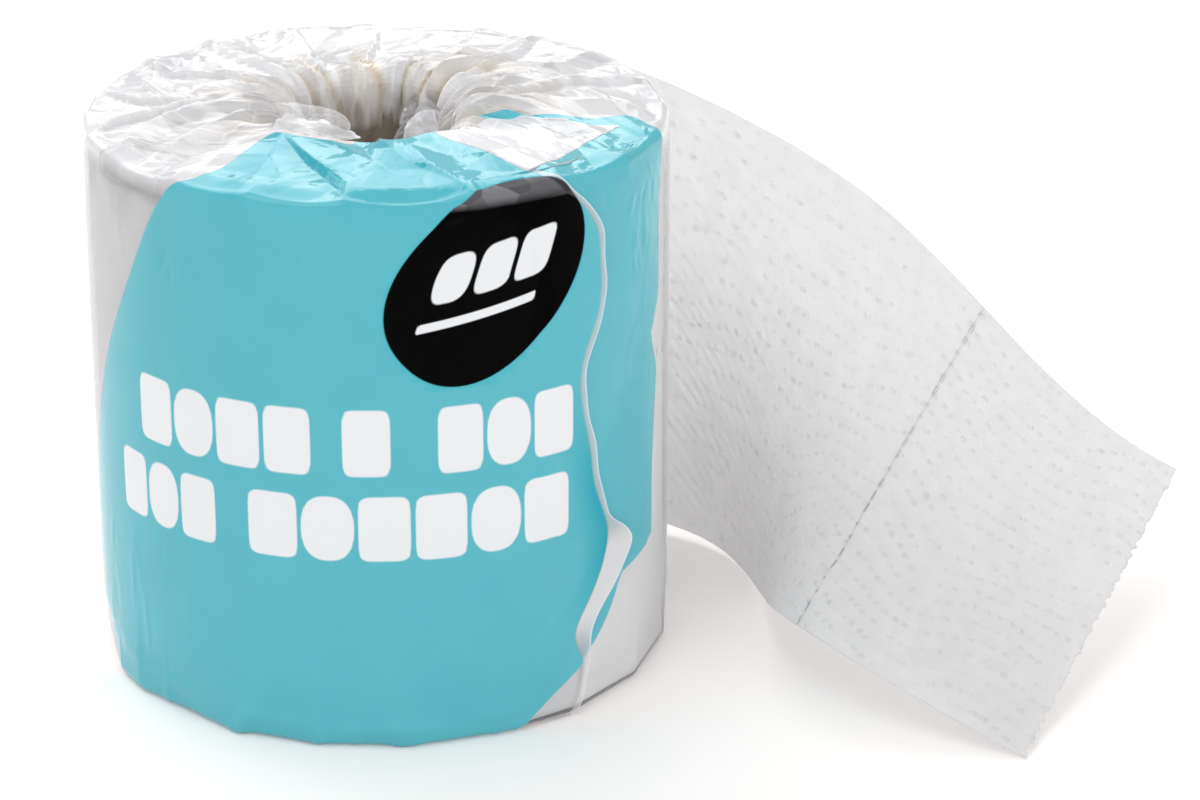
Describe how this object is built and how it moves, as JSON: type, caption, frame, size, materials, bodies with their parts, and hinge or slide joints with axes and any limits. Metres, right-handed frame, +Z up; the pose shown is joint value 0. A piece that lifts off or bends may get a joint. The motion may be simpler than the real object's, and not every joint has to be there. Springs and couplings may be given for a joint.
{
  "type": "wrapped toilet roll",
  "caption": "Toilet roll on a card tube in a clear film wrap with pleated ends, with a length of embossed paper pulled out of the wrap and ending in a torn edge.",
  "frame": {"origin": "on the roll's axis, in the plane that the wrapped roll stands on", "axes": "+Z up along the roll's axis, +X from the axis towards the pulled-out end of the paper"},
  "size_m": [0.2093, 0.1297, 0.1048],
  "materials": {
    "card": "matte",
    "tissue": "matte",
    "film": "gloss"
  },
  "bodies": {
    "root": {"core_tube": "card", "paper_roll": "tissue", "wrap_film": "film"}
  },
  "joints": []
}
